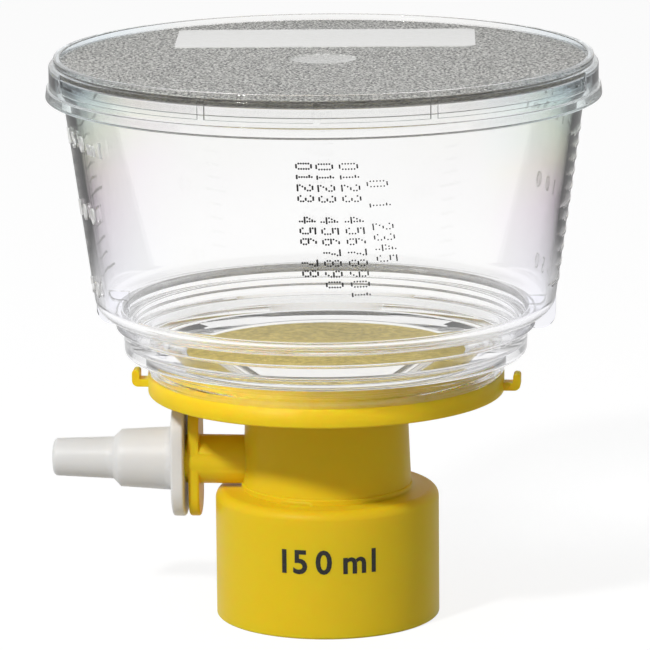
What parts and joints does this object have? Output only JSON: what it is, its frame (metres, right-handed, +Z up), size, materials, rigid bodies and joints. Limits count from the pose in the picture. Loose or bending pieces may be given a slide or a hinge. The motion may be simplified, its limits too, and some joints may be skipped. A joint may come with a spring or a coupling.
{
  "type": "vacuum filtration unit",
  "caption": "Bottle-top vacuum filter: clear graduated bowl with lift-off lid, membrane on a ribbed plate, yellow screw-on base with a side vacuum arm and a stepped white tubing adapter.",
  "frame": {"origin": "on the unit's axis, in the plane of the collar's lower rim, on which it stands", "axes": "+Z up along the bowl's axis, -X along the vacuum arm and its tubing adapter"},
  "size_m": [0.0894, 0.0892, 0.0924],
  "materials": {
    "yellow_plastic": "satin moulded yellow polyolefin",
    "clear_bowl": "clear polished polystyrene with raised graduations",
    "clear_lid": "clear polystyrene, top textured to a frosted grey",
    "membrane_white": "matte microporous membrane",
    "gasket_rubber": "matte soft seal",
    "white_plastic": "satin moulded white polypropylene",
    "cotton": "loose cotton fibre"
  },
  "bodies": {
    "root": {"base": "yellow_plastic", "bowl": "clear_bowl", "support_plate": "yellow_plastic", "membrane": "membrane_white", "neck_gasket": "gasket_rubber", "port_plug": "cotton"},
    "lid": {"lid": "clear_lid"},
    "adapter": {"tubing_adapter": "white_plastic"}
  },
  "joints": [
    {"name": "lid_lift", "type": "slide", "parent": "root", "child": "lid", "axis": [0, 0, 1], "range_m": [0, 0.06]},
    {"name": "adapter_pull", "type": "slide", "parent": "root", "child": "adapter", "axis": [-1, 0, 0], "range_m": [0, 0.012]}
  ]
}
